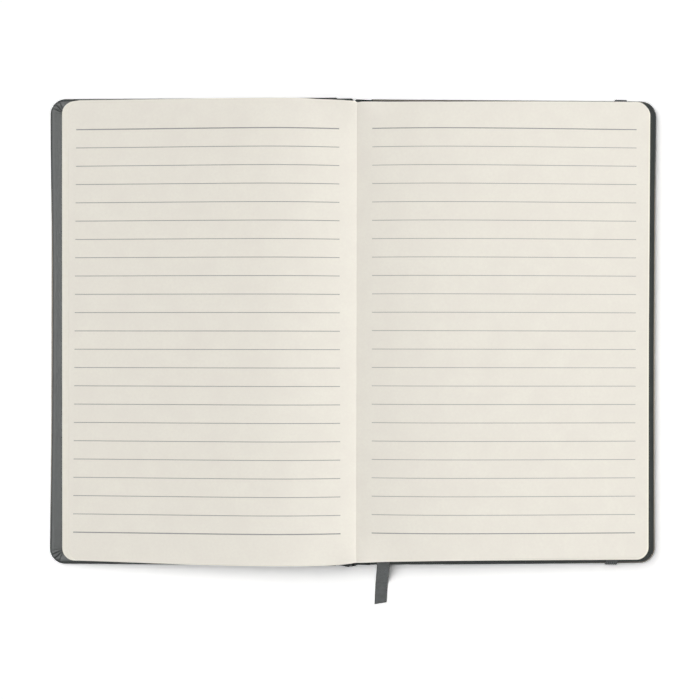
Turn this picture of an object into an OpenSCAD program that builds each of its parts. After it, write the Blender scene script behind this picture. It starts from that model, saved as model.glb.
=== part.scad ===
// Casebound ruled notebook, lying open near its middle on a table.
// X runs across the spread, Y from tail to head, Z up. All sizes are in millimetres.
// The open covers stand as a shallow tent: the spine strip is folded down between
// them and holds their inner edges a few millimetres above the table.

/* [Case] */
// Height of the covers, from head to tail
cover_h = 210; // [150:1:300]
// Width of the board in each cover
board_w = 128.5; // [110:0.5:180]
// Thickness of the board in each cover
board_t = 2; // [1.5:0.1:3]
// Radius of the two fore-edge corners of each cover
cover_corner_r = 7; // [4:0.5:16]
// Thickness of the covering material
skin_t = 0.4; // [0.3:0.05:0.6]
// Rounding along the outer edges of the covers
edge_round = 0.9; // [0.4:0.1:1.2]
// Width of the covering that is turned in over the inside of the boards
turn_in = 15; // [9:1:20]
// Bare covering between a board and its hinge line
board_gap = 0.6; // [0.4:0.1:2]
// Width of the flexible joint between a hinge line and the spine
joint_w = 6; // [4:0.5:10]

/* [Spine fold] */
// Height of the front cover's hinge line above the table
front_hinge_z = 5.9; // [4.5:0.1:6.4]
// Height of the back cover's hinge line above the table
back_hinge_z = 3.2; // [2.5:0.1:4.5]
// Half of the width between the two upper bends of the folded spine
fold_half_w = 1.8; // [1.6:0.1:3]
// Height of the upper bend beside the front cover
front_bend_z = 6.4; // [5.5:0.1:7]
// Height of the upper bend beside the back cover
back_bend_z = 4.7; // [4:0.1:6]
// Outer radius of the bend that rests on the table
fold_r = 1; // [0.9:0.1:1.4]
// Radius of the two upper bends
bend_r = 0.7; // [0.5:0.1:1]
// Thickness of the card inlay glued inside the spine
inlay_t = 0.3; // [0.2:0.05:0.35]

/* [Endpapers] */
// Thickness of the endpapers
paper_t = 0.15; // [0.1:0.05:0.3]
// Turn-in left bare at the fore-edge
paper_fore_margin = 6.5; // [3:0.5:8]
// Turn-in left bare at head and tail
paper_end_margin = 3; // [2:0.5:6]
// Radius of their fore-edge corners
paper_corner_r = 6; // [3:0.5:10]

/* [Pages] */
// Height of the pages, from head to tail
page_h = 206.4; // [140:0.2:210]
// Radius of the pages' fore-edge corners
page_corner_r = 5.5; // [3:0.5:12]
// Distance from the spine fold to the lowest front sheet's fore-edge
front_fore_low = 132.1; // [110:0.1:134]
// Distance from the spine fold to the top front sheet's fore-edge
front_fore_top = 128.4; // [106:0.1:131]
// Distance from the spine fold to the lowest back sheet's fore-edge
back_fore_low = 133.8; // [110:0.1:135]
// Distance from the spine fold to the top back sheet's fore-edge
back_fore_top = 131.6; // [106:0.1:133]
// Thickness of the front half of the pages at its fore-edge
front_half_t = 3.8; // [2:0.1:8]
// Thickness of the back half of the pages at its fore-edge
back_half_t = 7; // [3:0.1:8]
// Height of the gutter above the table
gutter_z = 10; // [9:0.1:11]
// Distance of the gutter from the spine fold, towards the back cover
gutter_shift = 1.15; // [0:0.05:1.5]
// Height of the front half's crest above the table
front_crest_z = 14.3; // [12:0.1:20]
// Distance of the front half's crest from the gutter
front_crest_x = 35; // [20:1:50]
// Height of the back half's crest above the table
back_crest_z = 13.9; // [11:0.1:16]
// Distance of the back half's crest from the gutter
back_crest_x = 42; // [25:1:60]
// Thickness of the sheets that are joined under the gutter
gutter_web = 1.2; // [0.8:0.1:2]
// Thickness of the lining glued over the back of the pages
lining_t = 0.3; // [0.2:0.05:0.4]
// Half of the distance between the feet of the folded lining
lining_foot = 0.9; // [0.6:0.05:1.1]

/* [Ruling] */
// Number of ruled lines on each page
rule_count = 23; // [8:1:24]
// Distance from one ruled line to the next
rule_pitch = 8.21; // [5:0.01:8.6]
// Width of a ruled line
rule_w = 0.3; // [0.2:0.05:0.6]
// Width of the first and the last line on a page
end_rule_w = 0.5; // [0.3:0.05:0.8]
// Thickness of the ink
ink_t = 0.05; // [0.04:0.01:0.1]
// Length of a ruled line
rule_length = 118; // [60:1:120]
// Bare paper between the gutter and the lines on the front page
front_rule_margin = 7.9; // [4:0.1:20]
// Bare paper between the gutter and the lines on the back page
back_rule_margin = 6.9; // [4:0.1:20]
// How much higher the lines are printed on the back page
back_rule_rise = 0.3; // [0:0.1:1]

/* [Ribbon marker] */
// Width of the ribbon
ribbon_w = 5.9; // [3:0.1:8]
// Thickness of the ribbon
ribbon_t = 0.3; // [0.2:0.05:0.5]
// Distance of the ribbon's near edge from the gutter at the tail of the pages
ribbon_x = 10.6; // [8:0.1:40]
// Distance of its near edge from the gutter at its glued end
ribbon_head_x = 4.2; // [3.6:0.1:20]
// Length hidden inside the pages
ribbon_inside = 198; // [60:1:205]
// Length that shows beyond the covers
ribbon_tail = 19.2; // [14:0.1:60]
// Sideways lean of the end towards the gutter
ribbon_lean = 0.9; // [0:0.1:4]
// Width of the end, which curls a little
ribbon_end_w = 5.5; // [3:0.1:8]
// Slant of the cut end
ribbon_cut = 0.9; // [0:0.1:3]
// Height of the ribbon above the inside of the back cover
ribbon_lift = 0.8; // [0.6:0.1:1.5]
// Length over which it drops from the cover to the table
ribbon_drop = 8; // [6:0.5:10]
// Radius of its bends
ribbon_bend_r = 3; // [1:0.5:4]

/* [Elastic band] */
// Width of the band
band_w = 5; // [3:0.5:10]
// Thickness of the band
band_t = 0.8; // [0.4:0.1:1]
// Distance of the band's middle from the fore-edge
band_inset = 18; // [14:0.5:40]
// Turn of the band towards the fore-edge at the head, in degrees
band_skew = 1.15; // [0:0.05:2]
// Length of each end on the inside of the cover
band_end = 14; // [8:1:20]
// Slack round the edges of the cover
band_slack = 0.1; // [0.1:0.05:0.3]

/* [Hidden] */
$fn = 48;
// How far a cutting shape reaches past what it cuts
over = 1;
// Room round the swollen endpaper that covers the band's ends
ease = 0.5;
bend_steps = 6;
curve_steps = 14;
// The stretch of the spine skin that still lies in line with a cover
straight = 0.5;
lining_bend_r = 0.3;
// How far across a joint the pages come down to it, as a share of its width
joint_share = 0.3;
// Handles of the curves of the pages' upper side, as shares of the way to the curve's other end
front_fore_handle = [0.41, 0.39];
front_crest_out = 0.19;
front_crest_in = 0.47;
front_gutter_handle = [0.09, 0.36];
back_gutter_handle = [0.1, 0.34];
back_crest_in = 0.5;
back_crest_out = 0.34;
back_fore_handle = [0.3, 0.3];

case_t = board_t + 2 * skin_t;
board_top = skin_t + board_t;
leaf_top = case_t + paper_t;
edge_r = min(edge_round, 2.2 * skin_t);
cover_w = board_gap + board_w + skin_t;
hinge_x = fold_half_w + joint_w;
band_x = cover_w - band_inset;

// The front cover meets the table with the rounding of its fore-edge, the back cover with the band
front_reach = [cover_w - edge_r, edge_r];
front_tilt = asin((front_hinge_z - edge_r) / norm(front_reach)) + atan2(front_reach.y, front_reach.x);
back_reach = [band_x + band_w / 2 * cos(band_skew) + cover_h / 2 * sin(band_skew), band_t];
back_tilt = asin(back_hinge_z / norm(back_reach)) - atan2(back_reach.y, back_reach.x);

// The origin lies on the table, below the middle of everything
left_end = -hinge_x - front_reach.x * cos(front_tilt) - edge_r * sin(front_tilt) - edge_r;
right_end = hinge_x + front_reach.x * cos(back_tilt) + edge_r * sin(back_tilt) + edge_r;
head_end = cover_h / 2 + band_slack + band_t;
tail_end = -cover_h / 2 - ribbon_tail;
origin = [(left_end + right_end) / 2, (head_end + tail_end) / 2, 0];

function unit(v) = v / norm(v);
function turned(v) = [-v.y, v.x];
function upended(path) = [for (p = path) [p.x, -p.y]];
function reversed(list) = [for (i = [len(list) - 1:-1:0]) list[i]];
function skip(list) = [for (i = [1:len(list) - 1]) list[i]];
function between(a, b, share) = a + (b - a) * share;
function shares(a, b, part) = [a.x + (b.x - a.x) * part.x, a.y + (b.y - a.y) * part.y];

// Points of a round bend at b on the way from a to c
function bend(a, b, c, r) = let (
    u = unit(a - b), v = unit(c - b), half = acos(u * v) / 2,
    middle = b + unit(u + v) * r / sin(half),
    from = b + u * r / tan(half) - middle, to = b + v * r / tan(half) - middle
) [for (i = [0:bend_steps]) middle + r * unit(between(from, to, i / bend_steps))];

// Path from p down round the underside of a circle and up to q
function loop(p, q, centre, r) = let (
    from = atan2((p - centre).y, (p - centre).x) + acos(r / norm(p - centre)),
    to = atan2((q - centre).y, (q - centre).x) - acos(r / norm(q - centre)) + 360
) concat([p], [for (i = [0:2 * bend_steps]) let (a = from + (to - from) * i / (2 * bend_steps))
    centre + r * [cos(a), sin(a)]], [q]);

// Points of a cubic curve from a to d, with handles b and c
function curve(a, b, c, d) = [for (i = [0:curve_steps]) let (t = i / curve_steps, s = 1 - t)
    s * s * s * a + 3 * s * s * t * b + 3 * s * t * t * c + t * t * t * d];

// A path moved to its left by d
function beside(path, d) = [for (i = [0:len(path) - 1]) let (
    out = i == len(path) - 1 ? path[i] - path[i - 1] : path[i + 1] - path[i],
    into = i == 0 ? out : path[i] - path[i - 1],
    n = unit(turned(unit(into)) + turned(unit(out)))
) path[i] + n * d / (n * turned(unit(out)))];

// The stretch of a path, running from left to right, between two distances across the spread
function stretch(path, from, to) = concat(
    [[from, lookup(from, path)]], [for (p = path) if (p.x > from && p.x < to) p],
    [[to, lookup(to, path)]]);

module strip(path, t) polygon(concat(beside(path, t / 2), reversed(beside(path, -t / 2))));
module along_y(length) rotate([90, 0, 0]) linear_extrude(length, center = true) children();
module along_x(length) rotate([90, 0, 90]) linear_extrude(length, center = true) children();

// A point of a cover's own section, as a place in the section of the whole book
function front_at(p) = [
    -hinge_x - p.x * cos(front_tilt) - p.y * sin(front_tilt),
    front_hinge_z - p.x * sin(front_tilt) + p.y * cos(front_tilt)
];
function back_at(p) = [
    hinge_x + p.x * cos(back_tilt) + p.y * sin(back_tilt),
    back_hinge_z - p.x * sin(back_tilt) + p.y * cos(back_tilt)
];
// The same places for a distance from the gutter and a height above the outside of the cover
function front_over(distance, z) =
    front_at([(distance - hinge_x - z * sin(front_tilt)) / cos(front_tilt), z]);
function back_over(distance, z) =
    back_at([(distance - hinge_x - z * sin(back_tilt)) / cos(back_tilt), z]);

// Middle of the spine's skin: the joints, the two upper bends and the fold down to the table
front_bend = [-fold_half_w, front_bend_z];
back_bend = [fold_half_w, back_bend_z];
spine_loop = loop(front_bend, back_bend, [0, fold_r], fold_r - skin_t / 2);
spine_start = [front_at([0, skin_t / 2]), front_at([-straight, skin_t / 2])];
spine_stop = [back_at([-straight, skin_t / 2]), back_at([0, skin_t / 2])];
front_turn = bend(spine_start[1], front_bend, spine_loop[1], bend_r);
back_turn = bend(spine_loop[len(spine_loop) - 2], back_bend, spine_stop[0], bend_r);
spine_walls = [for (i = [1:len(spine_loop) - 2]) spine_loop[i]];
spine_path = concat(spine_start, front_turn, spine_walls, back_turn, spine_stop);
inlay_path = beside(
    concat([front_turn[bend_steps]], spine_walls, [back_turn[0]]), (skin_t + inlay_t) / 2);

// Lining, folded up between the two halves of the back of the pages
front_foot = front_bend + [fold_half_w - lining_foot, skin_t / 2];
back_foot = back_bend + [lining_foot - fold_half_w, skin_t / 2];
lining_top = gutter_z - gutter_web - lining_t / 2;
lining_path = upended(loop(
    [front_foot.x, -front_foot.y], [back_foot.x, -back_foot.y],
    [0, lining_bend_r - lining_top], lining_bend_r));

// Upper side of the pages, from the gutter out over each half's crest to its fore-edge
gutter = [gutter_shift, gutter_z];
front_crest = [gutter.x - front_crest_x, front_crest_z];
back_crest = [gutter.x + back_crest_x, back_crest_z];
front_low = front_over(front_fore_low, leaf_top);
front_top = front_over(front_fore_top, leaf_top + front_half_t);
back_low = back_over(back_fore_low, leaf_top);
back_top = back_over(back_fore_top, leaf_top + back_half_t);
front_upper = concat(
    curve(front_top, shares(front_top, front_crest, front_fore_handle),
        shares(front_crest, front_top, [front_crest_out, 0]), front_crest),
    skip(curve(front_crest, shares(front_crest, gutter, [front_crest_in, 0]),
        shares(gutter, front_crest, front_gutter_handle), gutter)));
back_upper = concat(
    curve(gutter, shares(gutter, back_crest, back_gutter_handle),
        shares(back_crest, gutter, [back_crest_in, 0]), back_crest),
    skip(curve(back_crest, shares(back_crest, back_top, [back_crest_out, 0]),
        shares(back_top, back_crest, back_fore_handle), back_top)));

// Underside of the pages: flat on a cover, then down into the joint and over the spine's upper bend
function joint_foot(foot, cover_side) = [between(cover_side, foot, joint_share), foot];
front_under = concat([front_low, front_at([0, leaf_top])],
    joint_foot(front_bend + [0, skin_t / 2], front_at([0, skin_t])));
back_under = concat(
    reversed(joint_foot(back_bend + [0, skin_t / 2], back_at([0, skin_t]))),
    [back_at([0, leaf_top]), back_low]);
page_section = concat(
    front_under, beside(lining_path, lining_t / 2), back_under,
    reversed(concat(front_upper, skip(back_upper))));

module book() translate(-origin) children();
module front_cover_frame()
    translate([-hinge_x, 0, front_hinge_z]) rotate([0, -front_tilt, 0]) mirror([1, 0, 0]) children();
module back_cover_frame() translate([hinge_x, 0, back_hinge_z]) rotate([0, back_tilt, 0]) children();
module band_frame() translate([band_x, 0, 0]) rotate([0, 0, -band_skew]) children();

// A leaf from its inner edge at x = from to its fore-edge at x = to, with round fore-edge corners
module leaf(from, to, h, r) {
    translate([from, -h / 2]) square([to - r - from, h]);
    translate([from, -h / 2 + r]) square([to - from, h - 2 * r]);
    for (end = [-1, 1]) translate([to - r, end * (h / 2 - r)]) circle(r);
}

// Section through the rounded edge of a cover
module cover_edge(w) {
    square([w - edge_r, case_t]);
    translate([0, edge_r]) square([w, case_t - 2 * edge_r]);
    for (z = [edge_r, case_t - edge_r]) translate([w - edge_r, z]) circle(edge_r);
}

module cover_blank() {
    flat_w = cover_w - cover_corner_r;
    flat_h = cover_h - 2 * cover_corner_r;
    translate([0, -flat_h / 2, 0]) cube([flat_w, flat_h, case_t]);
    translate([flat_w, 0, 0]) along_y(flat_h) cover_edge(cover_corner_r);
    for (end = [0, 1]) mirror([0, end, 0]) translate([0, flat_h / 2, 0]) {
        translate([flat_w / 2, 0, 0]) along_x(flat_w) cover_edge(cover_corner_r);
        translate([flat_w, 0, 0]) rotate_extrude(angle = 90) cover_edge(cover_corner_r);
    }
}

// Inside of a cover, within its turned-in edges
module inside_window(shrink = 0) {
    h = cover_h - 2 * (turn_in + shrink);
    translate([-over, -h / 2]) square([cover_w - turn_in - shrink + over, h]);
}

module board_outline(from)
    leaf(from, cover_w - skin_t, cover_h - 2 * skin_t, cover_corner_r - skin_t);

module cover_skin() {
    difference() {
        cover_blank();
        translate([0, 0, skin_t]) linear_extrude(board_t) board_outline(-over);
        translate([0, 0, board_top - skin_t / 2]) linear_extrude(case_t) inside_window();
    }
}

module cover_board() translate([0, 0, skin_t]) linear_extrude(board_t) board_outline(board_gap);

// Pasted leaf: it lies on the turned-in edges and is pressed down onto the board between them
module cover_endpaper() {
    difference() {
        translate([0, 0, board_top]) linear_extrude(leaf_top - board_top)
            leaf(board_gap, cover_w - paper_fore_margin, cover_h - 2 * paper_end_margin, paper_corner_r);
        translate([0, 0, board_top - over]) linear_extrude(skin_t + over) difference() {
            translate([-over, -cover_h]) square([2 * cover_w, 2 * cover_h]);
            inside_window();
        }
        translate([0, 0, board_top + paper_t]) linear_extrude(case_t) inside_window(paper_t);
    }
}

// The swelling of the endpaper over one end of the band, or the room for it with some ease
module band_swelling(room = 0) {
    w = band_w + 2 * (paper_t + room);
    from = cover_h / 2 - band_end - paper_t - room;
    to = cover_h / 2 - paper_end_margin + (room > 0 ? over + paper_end_margin : 0);
    for (end = [0, 1]) mirror([0, end, 0])
        translate([-w / 2, from, case_t - (room > 0 ? over : 0)])
            cube([w, to - from, band_t + paper_t + (room > 0 ? over + paper_t : 0)]);
}

module band_solid() {
    out = cover_h / 2 + band_slack + band_t / 2;
    inner = case_t + band_t / 2;
    end = cover_h / 2 - band_end;
    r = edge_r + band_t / 2;
    corners = [
        [end, inner], [out, inner], [out, -band_t / 2],
        [-out, -band_t / 2], [-out, inner], [-end, inner]
    ];
    path = concat(
        [corners[0]], [for (i = [1:4]) each bend(corners[i - 1], corners[i], corners[i + 1], r)],
        [corners[5]]);
    along_x(band_w) strip(path, band_t);
}

// Outline of the ribbon seen from above, and its fall from the cover to the table seen from the side
ribbon_z = back_over(ribbon_x + ribbon_w / 2, leaf_top).y + ribbon_lift;
module ribbon_plan() polygon([
    [ribbon_head_x, ribbon_inside - page_h / 2], [ribbon_x, -page_h / 2],
    [ribbon_x - ribbon_lean, tail_end], [ribbon_x - ribbon_lean + ribbon_end_w, tail_end + ribbon_cut],
    [ribbon_x + ribbon_w, -page_h / 2], [ribbon_head_x + ribbon_w, ribbon_inside - page_h / 2]
]);
module ribbon_fall() {
    edge = -cover_h / 2 - ribbon_bend_r / 2;
    a = [tail_end - over, ribbon_t / 2];
    b = [edge - ribbon_drop, ribbon_t / 2];
    c = [edge, ribbon_z];
    d = [ribbon_inside - page_h / 2 + over, ribbon_z];
    strip(concat([a], bend(a, b, c, ribbon_bend_r), bend(b, c, d, ribbon_bend_r), [d]), ribbon_t);
}
module ribbon_solid() {
    intersection() {
        translate([ribbon_x, 0, 0]) along_x(4 * (ribbon_x + ribbon_w)) ribbon_fall();
        translate([0, 0, -over]) linear_extrude(ribbon_z + 2 * over) ribbon_plan();
    }
}

// Pages seen from above, with all four fore-edge corners round
module page_outline() {
    leaf(-over, back_fore_low, page_h, page_corner_r);
    mirror([1, 0]) leaf(-over, front_fore_low, page_h, page_corner_r);
}

// One page's lines, as strips of ink that follow the page's upper side
module page_rules(upper, from, rise = 0) {
    line = stretch(upper, from, from + rule_length);
    for (i = [0:rule_count - 1]) translate([0, (i - (rule_count - 1) / 2) * rule_pitch + rise, 0])
        along_y(i == 0 || i == rule_count - 1 ? end_rule_w : rule_w)
            polygon(concat(line, reversed([for (p = line) p + [0, ink_t]])));
}

module front_board() color("#a39a8a") book() front_cover_frame() cover_board();
module back_board() color("#a39a8a") book() back_cover_frame() cover_board();
module front_cover_skin() color("#5d6366") book() front_cover_frame() cover_skin();
module back_cover_skin() color("#3a3e3f") book() back_cover_frame() cover_skin();
module spine_skin() color("#3a3e3f") book() along_y(cover_h) strip(spine_path, skin_t);
module spine_inlay() color("#b8ac94") book()
    along_y(cover_h - 2 * paper_end_margin) strip(inlay_path, inlay_t);

module front_endpaper() color("#e9e4d3") book() front_cover_frame() cover_endpaper();

module back_endpaper() color("#e9e4d3") book() back_cover_frame() difference() {
    union() {
        cover_endpaper();
        band_frame() band_swelling();
    }
    band_frame() band_solid();
}

module page_block() color("#e9e5d8") book() difference() {
    intersection() {
        along_y(page_h) polygon(page_section);
        linear_extrude(2 * front_crest_z) page_outline();
    }
    ribbon_solid();
    back_cover_frame() band_frame() band_swelling(ease);
}

module spine_lining() color("#d8d2c0") book() along_y(page_h) strip(lining_path, lining_t);

module front_page_rules() color("#8c8a85") book()
    page_rules(front_upper, gutter.x - front_rule_margin - rule_length);

module back_page_rules() color("#8c8a85") book()
    page_rules(back_upper, gutter.x + back_rule_margin, back_rule_rise);

module ribbon_marker() color("#535858") book() ribbon_solid();
module elastic_band() color("#3b4041") book() back_cover_frame() band_frame() band_solid();

front_board();
back_board();
front_cover_skin();
back_cover_skin();
spine_skin();
spine_inlay();
front_endpaper();
back_endpaper();
page_block();
spine_lining();
front_page_rules();
back_page_rules();
ribbon_marker();
elastic_band();
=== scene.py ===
import math

import bmesh
import bpy
import numpy as np
from mathutils import Matrix, Vector


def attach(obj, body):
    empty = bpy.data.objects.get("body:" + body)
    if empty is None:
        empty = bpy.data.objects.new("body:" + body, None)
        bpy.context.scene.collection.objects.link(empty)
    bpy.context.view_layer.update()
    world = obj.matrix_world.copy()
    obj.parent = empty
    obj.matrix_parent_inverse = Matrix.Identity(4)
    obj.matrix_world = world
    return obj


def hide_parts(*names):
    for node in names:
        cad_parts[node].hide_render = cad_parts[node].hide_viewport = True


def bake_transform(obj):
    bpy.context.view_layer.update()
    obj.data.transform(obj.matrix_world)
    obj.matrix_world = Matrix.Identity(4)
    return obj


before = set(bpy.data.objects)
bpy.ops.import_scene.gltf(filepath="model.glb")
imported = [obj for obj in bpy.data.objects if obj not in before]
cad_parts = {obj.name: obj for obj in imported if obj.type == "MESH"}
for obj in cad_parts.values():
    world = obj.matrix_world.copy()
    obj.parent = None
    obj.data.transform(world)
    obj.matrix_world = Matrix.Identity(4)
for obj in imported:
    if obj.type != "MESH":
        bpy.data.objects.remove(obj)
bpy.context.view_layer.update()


# The stiff boards inside the two covers: millboard pressed from waste paper and
# die-cut with round fore-edge corners. They are wrapped in the covering, so only
# their inner edges show when a cover swings away from the pages.


def linear(code):
    """The linear colour of an sRGB hex value."""
    parts = [int(code[i : i + 2], 16) / 255 for i in (1, 3, 5)]
    return (*[p / 12.92 if p <= 0.04045 else ((p + 0.055) / 1.055) ** 2.4 for p in parts], 1)


def add(tree, kind, inputs=(), **settings):
    """A new node with its settings. Each input is a value, or the socket that feeds it."""
    made = tree.nodes.new(kind)
    for name, value in settings.items():
        setattr(made, name, value)
    for name, value in dict(inputs).items():
        if isinstance(value, bpy.types.NodeSocket):
            tree.links.new(value, made.inputs[name])
        else:
            made.inputs[name].default_value = value
    return made


def new_material(name, **surface):
    """A material with one Principled shader. Returns the material, its tree and the shader."""
    made = bpy.data.materials.new(name)
    made.use_nodes = True
    shader = made.node_tree.nodes["Principled BSDF"]
    for socket, value in surface.items():
        shader.inputs[socket.replace("_", " ")].default_value = value
    return made, made.node_tree, shader


def blend_colours(tree, factor, low, high):
    """A colour between two hex values, by a factor's socket."""
    mix = add(tree, "ShaderNodeMix", data_type="RGBA")
    mix.inputs["A"].default_value = linear(low)
    mix.inputs["B"].default_value = linear(high)
    tree.links.new(factor, mix.inputs["Factor"])
    return mix.outputs["Result"]


def dress(node, material):
    """Gives a CAD node its finish. It stays where the frame has it."""
    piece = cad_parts[node]
    piece.data.materials.clear()
    piece.data.materials.append(material)
    for face in piece.data.polygons:
        face.material_index = 0


# Millboard: dull grey-brown with darker and lighter fibres, and a soft, dry surface.
BOARD_FIBRE = 0.0007
greyboard, tree, shader = new_material("pressed_millboard", Roughness=0.92)
where = add(tree, "ShaderNodeTexCoord").outputs["Object"]
fibres = add(tree, "ShaderNodeTexNoise", {"Vector": where, "Scale": 1 / BOARD_FIBRE, "Detail": 4.0})
tree.links.new(
    blend_colours(tree, fibres.outputs["Fac"], "#8b8377", "#aca293"), shader.inputs["Base Color"]
)
bump = add(tree, "ShaderNodeBump", {"Height": fibres.outputs["Fac"], "Distance": 0.00008})
tree.links.new(bump.outputs["Normal"], shader.inputs["Normal"])
for node in ("front_board", "back_board"):
    dress(node, greyboard)


# One sheet of grained artificial leather, a PU film on a thin backing, is glued
# round both boards and turned in over their inner edges, with its corners pleated
# down. Here it ends at the hinge lines, where the spine's part takes over.

MM = 0.001
FOLD = Vector((-0.0428, 9.15, 0))
COVER_H = 210
COVER_W = 129.5
CASE_T = 2.8
BOARD_TOP = 2.4
SKIN_T = 0.4
EDGE_R = 0.88
# Inset and height of the inner edge, where the covering swells a little as it turns over
SHOULDER = [
    (0, 1.5), (0.08, 1.8), (0.3, 2.12), (0.62, 2.4), (0.95, 2.62), (1.3, 2.76), (1.7, 2.85),
    (2.2, 2.87), (2.8, 2.83), (3.6, CASE_T),
]
CORNER_R = 7
TURN_IN = 15
TILT = {"front": math.radians(2.62876), "back": math.radians(1.18451)}
HINGE = {"front": (-7.8, 5.9), "back": (7.8, 3.2)}
SIGN = {"front": -1, "back": 1}
# How far the covering reaches past the board's size: at the fore-edge by share of the way
# from tail to head, at the head, and at the tail by distance from the hinge
FORE_OUT = {
    "front": (
        [0, 0.15, 0.3, 0.5, 0.65, 0.8, 0.9, 1], [0.42, 0.1, -0.2, -0.36, -0.3, 0.1, 0.38, 0.5]
    ),
    "back": (
        [0, 0.15, 0.3, 0.46, 0.57, 0.68, 0.78, 0.89, 1],
        [0, -0.13, -0.26, -0.28, -0.2, -0.1, 0, 0.2, 0.36],
    ),
}
HEAD_OUT = {"front": 0.2, "back": 0.05}
TAIL_OUT = {
    "front": ([0, 130], [0.45, 0.45]), "back": ([0, 47, 88, 118, 127], [0.4, 0.4, 0.22, 0.1, 0])
}
# Where the fore-edge starts to leave the straight line, by distance from the hinge
BOW_FROM = 60
PLEATS = 9
PLEAT_DEPTH = 0.42
PLEAT_FADE = 1.5


def place(x, y, z):
    """A point of the spread, in millimetres from the spine's fold, in the row frame."""
    return (Vector((x, y, z)) + FOLD) * MM


def section_of(side, along, up):
    """Where a point of a cover's own section lies in the section of the open book."""
    tilt, (x, z) = TILT[side], HINGE[side]
    return (
        x + SIGN[side] * (along * math.cos(tilt) + up * math.sin(tilt)),
        z - along * math.sin(tilt) + up * math.cos(tilt),
    )


def on_cover(side, along, y, up):
    x, z = section_of(side, along, up)
    return place(x, y, z)


def new_piece(name, points, faces, material, turn=False):
    """A mesh piece at the origin. With turn, its faces are listed inside out and are reversed."""
    mesh = bpy.data.meshes.new(name)
    mesh.from_pydata([tuple(p) for p in points], [], [f[::-1] if turn else f for f in faces])
    mesh.polygons.foreach_set("use_smooth", [True] * len(mesh.polygons))
    mesh.materials.append(material)
    mesh.update()
    piece = bpy.data.objects.new(name, mesh)
    bpy.context.scene.collection.objects.link(piece)
    return piece


def quads(rows, columns, first=0, around=False):
    """Faces of a grid of points that is listed row by row."""
    last = columns if around else columns - 1
    return [
        (
            first + r * columns + c,
            first + r * columns + (c + 1) % columns,
            first + (r + 1) * columns + (c + 1) % columns,
            first + (r + 1) * columns + c,
        )
        for r in range(rows - 1)
        for c in range(last)
    ]


def cover_outline(inset):
    """A cover's outline from hinge to hinge, moved inwards. Returns along, y and corner angle."""
    r = max(CORNER_R - inset, 0.2)
    far, top = COVER_W - inset - r, COVER_H / 2 - inset - r
    head = [(far * i / 24, top + r, None) for i in range(24)]
    corner = [
        (far + r * math.sin(a), top + r * math.cos(a), a)
        for a in np.linspace(0, math.pi / 2, 25)
    ]
    fore = [(far + r, top * (1 - i / 12), None) for i in range(1, 13)]
    half = head + corner + fore
    return half + [(u, -y, a) for u, y, a in reversed(half[:-1])]


def cover_profile():
    """Inset and height of the covering, from the outer face round the edge to the turn-in."""
    turn = np.linspace(0, math.pi / 2, 9)
    under = [(EDGE_R * (1 - math.sin(a)), EDGE_R * (1 - math.cos(a))) for a in turn]
    return [
        (EDGE_R + 0.5, 0), *under, *SHOULDER, (5, CASE_T), (TURN_IN, CASE_T), (TURN_IN, BOARD_TOP)
    ]


def covering_of(side, material):
    profile = cover_profile()
    points = []
    for inset, up in profile:
        for along, y, angle in cover_outline(inset):
            out = float(np.interp(y / COVER_H + 0.5, *FORE_OUT[side]))
            along += out * max(0, (along - BOW_FROM) / (COVER_W - BOW_FROM)) ** 2
            pleat = 0
            if angle is not None and up > BOARD_TOP and inset < TURN_IN:
                fold = math.sin(angle * 2) * min(1, inset / PLEAT_FADE)
                pleat = PLEAT_DEPTH * fold * (abs(math.sin(PLEATS * angle)) - 1)
            tail_out = float(np.interp(along, *TAIL_OUT[side]))
            y += HEAD_OUT[side] * (y / COVER_H + 0.5) - tail_out * (0.5 - y / COVER_H)
            points.append(on_cover(side, along, y, up + pleat))
    columns = len(points) // len(profile)
    faces = quads(len(profile), columns)
    ring = [r * columns for r in range(len(profile))]
    faces.append(tuple(range(columns)))
    faces.append(tuple(ring))
    faces.append(tuple(i + columns - 1 for i in reversed(ring)))
    return new_piece(f"{side}_covering", points, faces, material, turn=side == "back")


# Artificial leather: charcoal PU with a fine pebbled grain, satin on the grain's crests.
GRAIN = 0.0007
CREASE = 0.006
leather, tree, shader = new_material("grained_pu_leather", IOR=1.5, Specular_IOR_Level=0.3)
where = add(tree, "ShaderNodeTexCoord").outputs["Object"]
wander = add(tree, "ShaderNodeTexNoise", {"Vector": where, "Scale": 1 / CREASE, "Detail": 5.0})
grain = add(
    tree,
    "ShaderNodeTexVoronoi",
    {"Vector": where, "Scale": 1 / GRAIN, "Randomness": 1.0},
    feature="SMOOTH_F1",
)
pores = add(tree, "ShaderNodeTexNoise", {"Vector": where, "Scale": 2.2 / GRAIN, "Detail": 3.0})
height = add(
    tree,
    "ShaderNodeMath",
    {0: grain.outputs["Distance"], 1: pores.outputs["Fac"]},
    operation="ADD",
)
bump = add(
    tree,
    "ShaderNodeBump",
    {"Height": height.outputs["Value"], "Distance": 0.00012, "Strength": 0.8},
)
tree.links.new(bump.outputs["Normal"], shader.inputs["Normal"])
tree.links.new(
    blend_colours(tree, wander.outputs["Fac"], "#1c201f", "#2b302f"), shader.inputs["Base Color"]
)
rough = add(
    tree,
    "ShaderNodeMapRange",
    {
        "Value": pores.outputs["Fac"],
        "From Min": 0.35,
        "From Max": 0.65,
        "To Min": 0.32,
        "To Max": 0.55,
    },
)
tree.links.new(rough.outputs["Result"], shader.inputs["Roughness"])

for side in ("front", "back"):
    covering = covering_of(side, leather)
    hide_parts(f"{side}_cover_skin")
    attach(covering, f"{side}_cover")


# The same artificial leather runs on across the spine. In the open book it bends
# up over the pages' back and folds down between the covers to the table. It is
# made in two halves, one on each side of the fold.

FOLD_HALF_W = 1.8
# How far beyond the fold the covering bends over towards its cover
BEND_Z = {"front": 6.4, "back": 4.7}
FOLD_R = 1
BEND_R = 0.7
JOINT_STEPS = 10
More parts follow.
